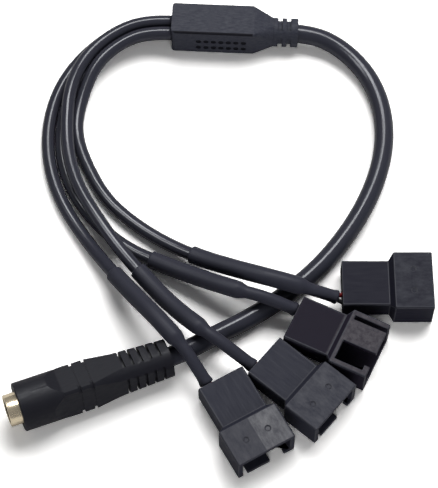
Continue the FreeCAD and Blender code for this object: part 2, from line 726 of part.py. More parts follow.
def wire_corners(index, edges, side):
    """Corners of one wire from the end of the jacket to its crimp; side is +1 or -1."""
    path = corners_after(edges, jacket_end(edges, SLEEVE_WIDE[index]) + JACKET_GAP)
    entry = wire_entry(index)
    back = path[-1] - entry
    back.normalize()
    path.append(entry + back * WIRE_SPREAD)
    corners = []
    for number, point in enumerate(path):
        ahead = (path + [entry])[number + 1] - point
        before = point - path[number - 1] if number else ahead
        heading = Vector(ahead).normalize() + Vector(before).normalize()
        sideways = Vector(-heading.y, heading.x, 0)
        sideways.normalize()
        corners.append(point + sideways * (side * WIRE_OFFSET))
    placement = housing_placement(index)
    across = -TERMINAL_PITCH + side * turned_over(index) * TERMINAL_PITCH / 2
    for depth in (WIRE_END - WIRE_STRAIGHT, WIRE_END):
        corners.append(placement.multVec(Vector(depth, across, CHANNEL_HEIGHT)))
    return [(corner.x, corner.y, corner.z) for corner in corners]


def placed(shape, placement):
    """A copy of a shape at its place."""
    result = shape.copy()
    result.Placement = placement
    return result


def wire_and_check(name, edges, radius):
    """A cable or wire, with its volume compared with section times length."""
    shape = tube(edges, radius)
    wanted = math.pi * radius * radius * route_length(edges)
    print(name, "volume over section times length %.4f" % (shape.Volume / wanted))
    return shape


def build_nodes():
    """Every piece by node name."""
    nodes = {"splitter_body": splitter_body()}
    nodes["main_cable"] = wire_and_check("main_cable", route("main_cable", main_corners()), MAIN_RADIUS)
    jack = jack_placement()
    nodes["jack_overmould"] = placed(jack_overmould(), jack)
    nodes["jack_sleeve"] = placed(jack_sleeve(), jack)
    nodes["jack_insulator"] = placed(jack_insulator(), jack)
    nodes["jack_centre_pin"] = placed(jack_centre_pin(), jack)
    housing = connector_housing()
    contacts = terminal_positions()
    live = terminal(contacts[2])
    ground = terminal(contacts[3])
    for index, corners in enumerate(branch_corners()):
        number = str(index + 1)
        edges = route("branch_" + number, corners)
        jacket = stretch(edges, 0.0, jacket_end(edges, SLEEVE_WIDE[index]))
        name = "branch_cable_" + number
        nodes[name] = wire_and_check(name, jacket, BRANCH_RADIUS)
        nodes["heat_shrink_" + number] = shrunk_sleeve(edges, SLEEVE_WIDE[index], MOUTH_GAPS[index])
        place = housing_placement(index)
        nodes["connector_housing_" + number] = placed(housing, place)
        nodes["live_terminal_" + number] = placed(live, place)
        nodes["ground_terminal_" + number] = placed(ground, place)
        live_side = turned_over(index)
        for colour, side in (("red_wire_", live_side), ("black_wire_", -live_side)):
            name = colour + number
            wire_edges = route(name, wire_corners(index, edges, side))
            nodes[name] = wire_and_check(name, wire_edges, WIRE_RADIUS)
    return nodes


def main():
    """Write one STEP file for each piece."""
    os.makedirs("parts", exist_ok=True)
    for name, shape in build_nodes().items():
        if len(shape.Solids) != 1 or not shape.isValid():
            print("CHECK", name, len(shape.Solids), "solids, valid", shape.isValid())
        shape.exportStep("parts/" + name + ".step")


main()
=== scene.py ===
"""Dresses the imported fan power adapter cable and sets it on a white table, seen as in its photograph."""
import logging
import math
from bisect import bisect_right
from dataclasses import dataclass, field, replace
from enum import Enum
from typing import Sequence

import bmesh
import bpy
from mathutils import Matrix, Vector


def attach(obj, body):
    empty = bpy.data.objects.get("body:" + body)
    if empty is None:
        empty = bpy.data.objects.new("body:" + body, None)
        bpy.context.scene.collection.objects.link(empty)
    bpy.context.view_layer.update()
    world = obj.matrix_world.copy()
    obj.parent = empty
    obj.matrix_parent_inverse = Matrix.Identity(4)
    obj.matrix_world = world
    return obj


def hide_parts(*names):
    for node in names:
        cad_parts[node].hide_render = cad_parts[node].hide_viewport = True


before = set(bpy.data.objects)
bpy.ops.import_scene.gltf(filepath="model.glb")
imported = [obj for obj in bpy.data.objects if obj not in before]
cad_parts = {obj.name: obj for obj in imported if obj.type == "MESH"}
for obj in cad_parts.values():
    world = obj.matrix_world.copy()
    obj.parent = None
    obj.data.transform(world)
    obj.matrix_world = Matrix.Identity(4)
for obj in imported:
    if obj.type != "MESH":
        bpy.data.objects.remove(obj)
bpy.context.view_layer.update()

LOG = logging.getLogger("fan_adapter")
MM = 0.001
ROOT = "root"

Colour = tuple[float, float, float]
Point = tuple[float, float, float]
Station = tuple[float, float]
Socket = bpy.types.NodeSocket
Value = Socket | float | tuple[float, ...]

WHITE: Colour = (1.0, 1.0, 1.0)
# Tint of the reflections on plastic
COOL: Colour = (0.93, 0.96, 1.0)

# The usual range of a noise, and a place that lies before the start of every piece
NOISE_LOW = 0.3
NOISE_HIGH = 0.7
BEFORE_ALL = -100.0 * MM

# Points closer than the weld are one point, and faces that meet at less than the flat angle are one face
WELD = 0.001 * MM
FLAT_ANGLE = math.radians(0.02)
# Faces that meet at more than this have an edge between them
SHARP_ANGLE = math.radians(25.0)
# How far before and after a point of a line its heading is read, and the least step between two rings
HEADING_REACH = 0.4 * MM
LEAST_STEP = 0.05 * MM


class Graph:
    """The node tree of one material or world."""

    def __init__(self, tree: bpy.types.NodeTree) -> None:
        """Start from an empty tree.

        Args:
            tree: The tree to fill.
        """
        self.tree = tree
        self.tree.nodes.clear()

    def add(self, kind: str, settings: dict[str, str] | None = None, **inputs: Value) -> bpy.types.Node:
        """Add a node, set its properties and set or link its inputs.

        Args:
            kind: The node's type.
            settings: Properties of the node itself.
            **inputs: Input values or sockets, with spaces in their names as underscores.

        Returns:
            The new node.
        """
        node = self.tree.nodes.new(kind)
        for name, value in (settings or {}).items():
            setattr(node, name, value)
        for name, value in inputs.items():
            self.put(node.inputs[name.replace("_", " ")], value)
        return node

    def put(self, socket: Socket, value: Value) -> None:
        """Link a socket to an input, or set the input's value.

        Args:
            socket: The input.
            value: Another node's output, a number, or a colour or vector.
        """
        if isinstance(value, Socket):
            self.tree.links.new(value, socket)
        elif isinstance(value, tuple) and socket.type == "RGBA":
            socket.default_value = (*value, 1.0)
        else:
            socket.default_value = value

    def place(self, streak: float) -> Socket:
        """The place on the piece, for a pattern that is stretched along it.

        Args:
            streak: How many times longer the pattern gets along the piece.

        Returns:
            The place.
        """
        where = self.add("ShaderNodeTexCoord").outputs["Object"]
        stretched = self.add("ShaderNodeMapping", Vector=where, Scale=(1 / streak, 1.0, 1.0))
        return stretched.outputs["Vector"]

    def noise(self, place: Socket, size: float, detail: float, roughness: float) -> Socket:
        """A cloudy pattern.

        Args:
            place: The place on the piece.
            size: Size of the clouds, in metres.
            detail: How many finer layers it has.
            roughness: Strength of the finer layers.

        Returns:
            The pattern's level.
        """
        pattern = self.add(
            "ShaderNodeTexNoise", Vector=place, Scale=1 / size, Detail=detail, Roughness=roughness)
        return pattern.outputs["Fac"]

    def ramp(self, value: Socket, start: float, end: float, low: float = 0.0, high: float = 1.0) -> Socket:
        """A level that climbs while a value goes through a range, and is even outside it.

        Args:
            value: The value.
            start: Start of the range.
            end: End of the range.
            low: Level before the range.
            high: Level after the range.

        Returns:
            The level.
        """
        climb = self.add(
            "ShaderNodeMapRange", Value=value, From_Min=start, From_Max=end, To_Min=low, To_Max=high)
        return climb.outputs["Result"]

    def times(self, first: Socket, second: Socket) -> Socket:
        """The product of two values."""
        product = self.add("ShaderNodeMath", {"operation": "MULTIPLY"})
        self.put(product.inputs[0], first)
        self.put(product.inputs[1], second)
        return product.outputs["Value"]

    def blend(self, share: Socket, first: Socket, second: Socket) -> Socket:
        """Two shaders in one.

        Args:
            share: Share of the second one.
            first: The first one.
            second: The second one.

        Returns:
            The blend.
        """
        mix = self.add("ShaderNodeMixShader", Fac=share)
        self.put(mix.inputs[1], first)
        self.put(mix.inputs[2], second)
        return mix.outputs["Shader"]


@dataclass(frozen=True)
class BaseFinish:
    """What every finish has.

    Attributes:
        name: The material's name.
        slot: The record's material slot; not used.
        colour: Base colour, linear.
        roughness: Roughness, or the middle of it where it wanders.
    """

    name: str
    slot: str
    colour: Colour
    roughness: float

    def material(self) -> bpy.types.Material:
        """The finish as a material, made once."""
        known = bpy.data.materials.get(self.name)
        if known:
            return known
        material = bpy.data.materials.new(self.name)
        material.use_nodes = True
        graph = Graph(material.node_tree)
        graph.add("ShaderNodeOutputMaterial", Surface=self.shader(graph))
        return material

    def shader(self, graph: Graph) -> Socket:
        """The finish's surface, which each kind of finish makes in its own way."""
        raise NotImplementedError


@dataclass(frozen=True)
class PlasticFinish(BaseFinish):
    """A dark moulded or extruded plastic with an uneven sheen.

    Attributes:
        mottle: How far the roughness wanders from its middle.
        mottle_size: Size of the wandering, in metres.
        grain: Height of the surface grain, in metres.
        grain_size: Size of the grain, in metres.
        specular: Strength of the reflection.
        streak: How many times longer the grain is along the piece than across it.
        wear_and_sheen_colour: Base colour of the paler patches, if there are any: wear, and on level top
            faces a painted sheen.
        wear_and_sheen_start: Where the patches start along the piece, in metres.
        wear_and_sheen_facing: Least upward or downward tilt of the patched faces, 1 for level ones and -1
            for all.
        wear_and_sheen_above: Height on the piece above which the patches start.
        wear_and_sheen_left: Place across the piece to the left of which the patches have their full
            strength.
        wear_and_sheen_right: Share of their strength that the patches have to the right of that place.
        blur: How softly the patches start, in metres.
        tilt_blur: How softly the patches start with the tilt.
        patch_low: Level of the noise at which a patch starts: the lower it is, the softer they are.
        patch_high: Level of the noise at which a patch is full.
        patch_size: Size of the patches, in metres.
        patch_streak: How many times longer the patches are along the piece than across it.
    """

    mottle: float = 0.06
    mottle_size: float = 2.5 * MM
    grain: float = 0.01 * MM
    grain_size: float = 0.35 * MM
    specular: float = 0.5
    streak: float = 1.0
    wear_and_sheen_colour: Colour | None = None
    wear_and_sheen_start: float = 9.0 * MM
    wear_and_sheen_facing: float = 0.9
    wear_and_sheen_above: float = 6.0 * MM
    wear_and_sheen_left: float = BEFORE_ALL
    wear_and_sheen_right: float = 0.30
    blur: float = 0.4 * MM
    tilt_blur: float = 0.1
    patch_low: float = 0.35
    patch_high: float = 0.75
    patch_size: float = 0.8 * MM
    patch_streak: float = 1.0

    def shader(self, graph: Graph) -> Socket:
        """The plastic's surface.

        Args:
            graph: The material's nodes.

        Returns:
            The surface.
        """
        place = graph.place(self.streak)
        cloud = graph.noise(place, self.mottle_size, detail=4.0, roughness=0.6)
        glossy = self.roughness - self.mottle
        matt = self.roughness + self.mottle
        grain = graph.noise(place, self.grain_size, detail=3.0, roughness=0.55)
        bump = graph.add("ShaderNodeBump", Strength=1.0, Distance=self.grain, Height=grain)
        shader = graph.add(
            "ShaderNodeBsdfPrincipled",
            Base_Color=self.wear_and_sheen(graph) if self.wear_and_sheen_colour else self.colour,
            Roughness=graph.ramp(cloud, NOISE_LOW, NOISE_HIGH, glossy, matt),
            Normal=bump.outputs["Normal"],
            Specular_IOR_Level=self.specular,
            Specular_Tint=COOL,
        )
        return shader.outputs["BSDF"]

    def wear_and_sheen(self, graph: Graph) -> Socket:
        """The base colour, paler in patches: wear, and on level top faces a painted sheen.

        Args:
            graph: The material's nodes.

        Returns:
            The colour.
        """
        where = graph.add("ShaderNodeTexCoord")
        spot = graph.add("ShaderNodeSeparateXYZ", Vector=where.outputs["Object"])
        facing = graph.add("ShaderNodeSeparateXYZ", Vector=where.outputs["Normal"])
        tilt = graph.add("ShaderNodeMath", {"operation": "ABSOLUTE"}, Value=facing.outputs["Z"])
        patches = graph.noise(graph.place(self.patch_streak), self.patch_size, detail=6.0, roughness=0.7)
        share = graph.ramp(patches, self.patch_low, self.patch_high)
        # Masks that keep the paler patches to the front, to level faces, to the top and to one side; on the
        # housings they paint a sheen over the wear
        masks = (
            graph.ramp(spot.outputs["X"], self.wear_and_sheen_start, self.wear_and_sheen_start + self.blur),
            graph.ramp(tilt.outputs["Value"], self.wear_and_sheen_facing - self.tilt_blur, self.wear_and_sheen_facing),
            graph.ramp(spot.outputs["Z"], self.wear_and_sheen_above, self.wear_and_sheen_above + self.blur),
            graph.ramp(spot.outputs["Y"], self.wear_and_sheen_left, self.wear_and_sheen_left + self.blur / 2, self.wear_and_sheen_right),
        )
        for mask in masks:
            share = graph.times(share, mask)
        paint = graph.add("ShaderNodeValToRGB", Fac=share)
        for stop, colour in zip(paint.color_ramp.elements, (self.colour, self.wear_and_sheen_colour)):
            stop.color = (*colour, 1.0)
        return paint.outputs["Color"]


@dataclass(frozen=True)
class MetalFinish(BaseFinish):
    """A plated metal.

    Attributes:
        metallic: Share of the metal's own reflection; the rest is a pale satin.
    """

    metallic: float = 1.0

    def shader(self, graph: Graph) -> Socket:
        """The metal's surface.

        Args:
            graph: The material's nodes.

        Returns:
            The surface.
        """
        shader = graph.add(
            "ShaderNodeBsdfPrincipled",
            Base_Color=self.colour,
            Metallic=self.metallic,
            Roughness=self.roughness,
        )
        return shader.outputs["BSDF"]


class Finish(Enum):
    """The finishes of the cable's pieces."""

    # Paler patches on the front's level top faces: wear and a painted sheen
    HOUSING = PlasticFinish(
        "dressed_housing_black", "moulded_black", (0.020, 0.021, 0.032), 0.55, 0.08, 0.4 * MM, 0.010 * MM,
        specular=0.11, streak=10.0, wear_and_sheen_colour=(0.070, 0.072, 0.085), patch_size=1.8 * MM, patch_streak=2.0)
    # Connector 1's copy, with paler and stronger patches that are full on one side: a painted sheen over the
    # wear
    HOUSING_PAINTED_SHEEN = replace(
        HOUSING, name="dressed_housing_painted_sheen", wear_and_sheen_colour=(0.165, 0.167, 0.180), wear_and_sheen_left=-0.1 * MM,
        patch_low=0.25)
    # Connector 4's copy, darker all over: painted shade
    HOUSING_PAINTED_SHADE = replace(
        HOUSING, name="dressed_housing_painted_shade", colour=(0.012, 0.012, 0.020), specular=0.075,
        wear_and_sheen_colour=(0.043, 0.045, 0.056))
    # The housings' rounded edges: paler for edge wear and a painted highlight
    HOUSING_EDGE_WEAR_AND_HIGHLIGHT = PlasticFinish(
        "dressed_housing_edge_wear_and_highlight", "moulded_black", (0.034, 0.035, 0.045), 0.45, 0.10, 1.5 * MM, specular=0.18)
    HOUSING_UNDER = PlasticFinish(
        "dressed_housing_black_under", "moulded_black", (0.014, 0.012, 0.020), 0.60, 0.02, 0.4 * MM,
        0.008 * MM, specular=0.05, streak=10.0, wear_and_sheen_colour=(0.086, 0.081, 0.091), patch_low=0.15,
        patch_size=1.0 * MM)
    OVERMOULD = PlasticFinish(
        "dressed_overmould_black", "moulded_black", (0.016, 0.018, 0.030), 0.56, 0.10, 0.5 * MM, 0.012 * MM,
        specular=0.11, streak=4.0, wear_and_sheen_colour=(0.048, 0.050, 0.063), wear_and_sheen_start=BEFORE_ALL,
        wear_and_sheen_facing=-1.0, wear_and_sheen_above=BEFORE_ALL, patch_low=0.2, patch_size=0.5 * MM, patch_streak=2.5)
    # Painted shade for the splitter's pits and upper front edge
    SPLITTER_PAINTED_SHADE = PlasticFinish("dressed_splitter_painted_shade", "moulded_black", (0.009, 0.009, 0.013), 0.6, specular=0.1)
    JACK_MOULD = PlasticFinish(
        "dressed_jack_black", "moulded_black", (0.008, 0.008, 0.012), 0.53, 0.10, 0.5 * MM, 0.012 * MM,
        specular=0.26, streak=4.0)
    JACKET = PlasticFinish(
        "dressed_jacket_black", "jacket_black", (0.028, 0.029, 0.040), 0.175, 0.075, 12.0 * MM, 0.004 * MM,
        specular=0.27)
    SHRINK = PlasticFinish(
        "dressed_shrink_black", "shrink_black", (0.029, 0.030, 0.042), 0.45, 0.06, 3.0 * MM, specular=0.11)
    INSULATOR = PlasticFinish(
        "dressed_insulator_black", "insulator_black", (0.008, 0.008, 0.008), 0.6, specular=0.2)
    RED_WIRE = PlasticFinish("dressed_wire_red", "wire_red", (0.22, 0.010, 0.012), 0.40, specular=0.3)
    BLACK_WIRE = PlasticFinish("dressed_wire_black", "wire_black", (0.008, 0.008, 0.010), 0.40, specular=0.4)
    GOLD = MetalFinish("dressed_contact_gold", "contact_gold", (1.0, 0.86, 0.62), 0.22, 0.85)
    # Painted shade inside the contact sleeve's bore
    BORE_PAINTED_SHADE = MetalFinish("dressed_bore_painted_shade", "contact_gold", (0.05, 0.04, 0.03), 0.50)
    TIN = MetalFinish("dressed_contact_tin", "contact_tin", (0.75, 0.75, 0.74), 0.25)


def dress(piece: bpy.types.Object, finish: Finish) -> None:
    """Give a piece or a CAD node its finish.

    Args:
        piece: A new piece or a CAD node's object.
        finish: The finish.
    """
    material = finish.value.material()
    if piece.material_slots:
        for holder in piece.material_slots:
            holder.link = "OBJECT"
            holder.material = material
    else:
        piece.data.materials.append(material)


def add_piece(
    mesh: bpy.types.Mesh, finish: Finish, nodes: Sequence[str], place: Matrix = Matrix()
) -> bpy.types.Object:
    """Put a mesh into the scene as a piece that rides on the body and stands for CAD nodes.

    Args:
        mesh: The piece's mesh in the shared frame, whose name the piece takes.
        finish: Its finish.
        nodes: The CAD nodes that it stands for.
        place: The piece's own frame, along which the grain runs.

    Returns:
        The piece.
    """
    mesh.transform(place.inverted())
    piece = bpy.data.objects.new(mesh.name, mesh)
    piece.matrix_world = place
    bpy.context.scene.collection.objects.link(piece)
    dress(piece, finish)
    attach(piece, ROOT)
    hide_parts(*nodes)
    LOG.info("%s stands for %s", piece.name, ", ".join(nodes))
    return piece


def smooth(share: float) -> float:
    """A gentle step from 0 to 1."""
    share = min(max(share, 0.0), 1.0)
    return share * share * (3 - 2 * share)


def bezier(first: Vector, second: Vector, third: Vector, fourth: Vector, share: float) -> Vector:
    """A point on a curve between two ends with two handles."""
    rest = 1 - share
    near = first * rest ** 3 + second * (3 * rest * rest * share)
    return near + third * (3 * rest * share * share) + fourth * share ** 3


class Line:
    """A line through points in space, which can be read at any distance along it."""

    def __init__(self, points: Sequence[Vector]) -> None:
        """Keep the points and how far along each one is.

        Args:
            points: Points in order, in metres.
        """
        self.points = list(points)
        self.marks = [0.0]
        for before, after in zip(self.points, self.points[1:]):
            self.marks.append(self.marks[-1] + (after - before).length)

    @property
    def length(self) -> float:
        """Length of the whole line."""
        return self.marks[-1]

    def at(self, distance: float) -> Vector:
        """The point at a distance along the line."""
        index = min(max(bisect_right(self.marks, distance) - 1, 0), len(self.points) - 2)
        step = self.marks[index + 1] - self.marks[index]
        return self.points[index].lerp(self.points[index + 1], (distance - self.marks[index]) / step)

    def heading(self, distance: float) -> Vector:
        """The direction of the line at a distance along it."""
        first = self.at(max(distance - HEADING_REACH, 0.0))
        last = self.at(min(distance + HEADING_REACH, self.length))
        return (last - first).normalized()

    def sideways(self, distance: float) -> Vector:
        """The level direction to the left of the line."""
        return Vector((0, 0, 1)).cross(self.heading(distance)).normalized()

    def stretch(self, start: float, end: float) -> list[float]:
        """Distances of both ends of a stretch and of the line's own points between them."""
        inner = [mark for mark in self.marks if start + LEAST_STEP < mark < end - LEAST_STEP]
        return [start, *inner, end]


@dataclass
class Route:
    """The centreline of a cable.

    Attributes:
        name: Name of the line.
        points: Control points in millimetres.
        resolution: Steps between two control points.
    """

    name: str
    points: Sequence[Point]
    resolution: int = 16

    def line(self) -> Line:
        """The NURBS curve of the route, as points along it."""
        curve = bpy.data.curves.new(self.name, "CURVE")
        curve.dimensions = "3D"
        curve.resolution_u = self.resolution
        spline = curve.splines.new("NURBS")
        spline.points.add(len(self.points) - 1)
        for control, point in zip(spline.points, self.points):
            control.co = (*(value * MM for value in point), 1.0)
        spline.use_endpoint_u = True
        spline.order_u = 3
        holder = bpy.data.objects.new(self.name, curve)
        mesh = bpy.data.meshes.new_from_object(holder)
        points = [vertex.co.copy() for vertex in mesh.vertices]
        bpy.data.objects.remove(holder)
        bpy.data.curves.remove(curve)
        bpy.data.meshes.remove(mesh)
        return Line(points)


def swept(
    name: str, line: Line, stations: Sequence[Station], sides: int, hollow: bool = False
) -> bpy.types.Mesh:
    """A closed round skin along a line.

    Args:
        name: The mesh's name.
        line: The line that it follows.
        stations: Distance along the line and radius of each ring, in order.
        sides: Points on a ring.
        hollow: True to join the last ring to the first instead of capping both.

    Returns:
        The mesh.
    """
    shape = bmesh.new()
    rings = []
    for distance, radius in stations:
        heading = line.heading(distance)
        side = line.sideways(distance)
        rise = heading.cross(side)
        centre = line.at(distance)
        ring = []
        for step in range(sides):
            angle = 2 * math.pi * step / sides
            ring.append(shape.verts.new(centre + (side * math.cos(angle) + rise * math.sin(angle)) * radius))
        rings.append(ring)
    pairs = list(zip(rings, rings[1:]))
    if hollow:
        pairs.append((rings[-1], rings[0]))
    else:
        shape.faces.new(rings[0])
        shape.faces.new(list(reversed(rings[-1])))
    for first, second in pairs:
        for step in range(sides):
            after = (step + 1) % sides
            face = shape.faces.new((first[step], first[after], second[after], second[step]))
            face.smooth = True
    bmesh.ops.recalc_face_normals(shape, faces=shape.faces)
    mesh = bpy.data.meshes.new(name)
    shape.to_mesh(mesh)
    shape.free()
    return mesh


def add_rounded(
    name: str,
    node: str,
    finish: Finish,
    width: float,
    place: Matrix = Matrix(),
    edge_finish: Finish | None = None,
) -> bpy.types.Object:
    """Put a copy of a CAD node with rounded edges into the scene in the node's place.

    Args:
        name: The piece's name.
        node: The CAD node.
        finish: The piece's finish.
        width: Width of the rounding, in metres, or 0 to keep the edges sharp.
        place: The piece's own frame, along which the grain runs.
        edge_finish: The finish of the rounded edges, if it is another one.

    Returns:
        The piece.
    """
    shape = bmesh.new()
    shape.from_mesh(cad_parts[node].data)
    bmesh.ops.remove_doubles(shape, verts=shape.verts, dist=WELD)
    bmesh.ops.dissolve_limit(shape, angle_limit=FLAT_ANGLE, verts=shape.verts, edges=shape.edges)
    edges = [edge for edge in shape.edges if len(edge.link_faces) == 2]
    edges = [edge for edge in edges if edge.calc_face_angle() > SHARP_ANGLE]
    for face in shape.faces:
        face.smooth = True
    if width > 0:
        rounding = bmesh.ops.bevel(
            shape, geom=edges, offset=width, segments=2, profile=0.5, affect="EDGES", clamp_overlap=False)
        if edge_finish:
            for face in rounding["faces"]:
                face.material_index = 1
    else:
        for edge in edges:
            edge.smooth = False
    mesh = bpy.data.meshes.new(name)
    shape.to_mesh(mesh)
    shape.free()
    piece = add_piece(mesh, finish, [node], place)
    if edge_finish:
        mesh.materials.append(edge_finish.value.material())
    weighted = piece.modifiers.new("flat_faces", "WEIGHTED_NORMAL")
    weighted.mode = "FACE_AREA"
    weighted.weight = 100
    weighted.keep_sharp = True
    return piece


@dataclass
class Sleeve:
    """A shrunk sleeve on the end of a branch.

    Attributes:
        wide_length: Length of the wide part.
        mouth_gap: From the mouth to the housing, along the line.
        reach: From the sleeve's start to the housing, along the line.
        wide_radius: Outer radius on the jacket.
        neck_radius: Outer radius on the wires.
        mouth_radius: Outer radius of the mouth.
        wall: Wall of the neck and mouth.
        wide_wall: Wall of the wide part.
        shoulder: Length of the shoulder between the wide part and the neck.
        shoulder_lead: How far before the end of the wide part the shoulder starts.
        jacket_lead: How far before the end of the wide part the jacket stops.
        flare: Length over which the mouth widens.
        tuck: How far the skin is turned in at the start.
        outer_rim: Rounding of the outer edge at the start.
        inner_rim: Rounding of the inner edge at the start.
        mouth_rim: Rounding of the outer edge of the mouth.
        step: Distance between two rings.
        sides: Points on a ring.
    """

    wide_length: float
    mouth_gap: float
    reach: float = 33.7 * MM
    wide_radius: float = 1.85 * MM
    neck_radius: float = 1.3 * MM
    mouth_radius: float = 1.5 * MM
    wall: float = 0.15 * MM
    wide_wall: float = 0.38 * MM
    shoulder: float = 2.4 * MM
    shoulder_lead: float = 0.4 * MM
    jacket_lead: float = 0.5 * MM
    flare: float = 1.4 * MM
    tuck: float = 1.5 * MM
    outer_rim: float = 0.1 * MM
    inner_rim: float = 0.02 * MM
    mouth_rim: float = 0.03 * MM
    step: float = 0.35 * MM
    sides: int = 36

    @property
    def length(self) -> float:
        """Whole length."""
        return self.reach - self.mouth_gap

    def start(self, line: Line) -> float:
        """Where the sleeve starts on a line."""
        return line.length - self.reach

    def jacket_end(self, line: Line) -> float:
        """Where the jacket stops inside the sleeve."""
        return self.start(line) + self.wide_length - self.jacket_lead

    def radius(self, along: float) -> float:
        """Outer radius at a distance from the sleeve's start."""
        drop = smooth((along - self.wide_length + self.shoulder_lead) / self.shoulder)
        grown = smooth((along - self.length + self.flare) / self.flare)
        radius = self.wide_radius + (self.neck_radius - self.wide_radius) * drop
        return radius + (self.mouth_radius - self.neck_radius) * grown

    def mesh(self, name: str, line: Line) -> bpy.types.Mesh:
        """The sleeve's skin, turned in at both ends.

        Args:
            name: The mesh's name.
            line: The branch's line.

        Returns:
            The mesh.
        """
        start = self.start(line)
        count = round(self.length / self.step)
        inside = self.wide_radius - self.wide_wall
        stations = [
            (start + self.tuck, inside),
            (start + self.inner_rim, inside),
            (start, self.wide_radius - self.outer_rim),
            (start + self.outer_rim, self.wide_radius),
        ]
        for index in range(1, count):
            along = self.length * index / count
            stations.append((start + along, self.radius(along)))
        end = start + self.length
        stations.append((end, self.mouth_radius - self.mouth_rim))
        stations.append((end, self.mouth_radius - self.wall))
        stations.append((end - self.flare, self.neck_radius - self.wall))
        stations.append((end - 2 * self.flare, self.neck_radius - self.wall))
        return swept(name, line, stations, self.sides)


@dataclass
class FanConnector:
    """One keyed housing with its two crimped terminals.

    Attributes:
        number: Number in the node names.
        x: X of the rear centre, in metres.
        y: Y of the rear centre, in metres.
        yaw: Heading in degrees.
        finish: The housing's finish.
        tongue_up: True if it lies with its tongue up.
        pitch: Distance between two terminal channels.
        channel_height: Height of the channels' axes when the tongue is down.
        height: Height of the housing.
        edge: Width of the rounded edges.
    """

    number: int
    x: float
    y: float
    yaw: float
    finish: Finish
    tongue_up: bool = False
    pitch: float = 2.54 * MM
    channel_height: float = 3.35 * MM
    height: float = 7.2 * MM
    edge: float = 0.15 * MM

    @property
    def place(self) -> Matrix:
        """The housing's own frame: its rear centre on the table, with X along it."""
        return Matrix.Translation((self.x, self.y, 0.0)) @ Matrix.Rotation(math.radians(self.yaw), 4, "Z")

    def point(self, along: float, across: float, height: float) -> Vector:
        """A point of the housing in the shared frame.

        Args:
            along: From the rear face to the front.
            across: To the left, with the tongue down.
            height: Above the tongue's outer face.

        Returns:
            The point.
        """
        if self.tongue_up:
            across = -across
            height = self.height - height
        return self.place @ Vector((along, across, height))

    def crimp(self, along: float, live: bool) -> Vector:
        """A point on the axis of a wire in its channel."""
        across = -self.pitch / 2 if live else -1.5 * self.pitch
        return self.point(along, across, self.channel_height)

    def build(self) -> list[bpy.types.Object]:
        """Dress the housing and its terminals.

        Returns:
            The pieces of this connector.
        """
        node = f"connector_housing_{self.number}"
        name = f"fan_housing_{self.number}"
        # Its rounded edges are paler: edge wear and a painted highlight
        pieces = [add_rounded(name, node, self.finish, self.edge, self.place, Finish.HOUSING_EDGE_WEAR_AND_HIGHLIGHT)]
        for kind in ("live", "ground"):
            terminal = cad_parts[f"{kind}_terminal_{self.number}"]
            dress(terminal, Finish.TIN)
            pieces.append(terminal)
        return pieces


@dataclass
class Branch:
    """A branch cable with its sleeve, wires and connector.

    Attributes:
        number: Number in the node names.
        route: Its centreline.
        sleeve: Its shrunk sleeve.
        connector: What it ends in.
        diameter: Diameter of the jacket.
        sides: Points on a ring of the jacket.
        wire_radius: Radius of a wire.
        wire_sides: Points on a ring of a wire.
        wire_offset: From the line to each wire inside the neck.
        wire_tail: Length of each wire inside the neck.
        wire_spread: From where the wires spread to the housing, along the line.
        bend_steps: Steps on the bend of a wire.
        crimp_start: From the housing's rear face to where a wire lies straight.
        crimp_end: From the housing's rear face to a wire's end.
    """

    number: int
    route: Route
    sleeve: Sleeve
    connector: FanConnector
    diameter: float = 2.8 * MM
    sides: int = 32
    wire_radius: float = 0.475 * MM
    wire_sides: int = 16
    wire_offset: float = 0.53 * MM
    wire_tail: float = 5.0 * MM
    wire_spread: float = 1.2 * MM
    bend_steps: int = 12
    crimp_start: float = 1.4 * MM
    crimp_end: float = 3.5 * MM

    def wire(self, line: Line, live: bool) -> bpy.types.Object:
        """One wire from inside the sleeve's neck to its crimp.

        Args:
            line: The branch's line.
            live: True for the red wire.

        Returns:
            The wire.
        """
        left = live != self.connector.tongue_up
        offset = self.wire_offset if left else -self.wire_offset
        spread = line.length - self.wire_spread
        marks = line.stretch(spread - self.wire_tail, spread)
        points = [line.at(mark) + line.sideways(mark) * offset for mark in marks]
        leave = points[-1]
        aim = line.heading(spread)
        enter = self.connector.crimp(self.crimp_start, live)
        end = self.connector.crimp(self.crimp_end, live)
        into = (end - enter).normalized()
        reach = (enter - leave).length
        for step in range(1, self.bend_steps + 1):
            share = step / self.bend_steps
            points.append(bezier(leave, leave + aim * reach / 3, enter - into * reach / 3, enter, share))
        points.append(end)
        path = Line(points)
        colour = "red" if live else "black"
        stations = [(mark, self.wire_radius) for mark in path.marks]
        mesh = swept(f"{colour}_lead_{self.number}", path, stations, self.wire_sides)
        finish = Finish.RED_WIRE if live else Finish.BLACK_WIRE
        return add_piece(mesh, finish, [f"{colour}_wire_{self.number}"])

    def build(self) -> None:
        line = self.route.line()
        pieces = self.connector.build()
        mesh = self.sleeve.mesh(f"shrink_{self.number}", line)
        pieces.append(add_piece(mesh, Finish.SHRINK, [f"heat_shrink_{self.number}"]))
        pieces += [self.wire(line, True), self.wire(line, False)]
        marks = line.stretch(0.0, self.sleeve.jacket_end(line))
        stations = [(mark, self.diameter / 2) for mark in marks]
        mesh = swept(f"branch_{self.number}", line, stations, self.sides)
        cable = add_piece(mesh, Finish.JACKET, [f"branch_cable_{self.number}"])
        path = [line.at(mark) for mark in marks]


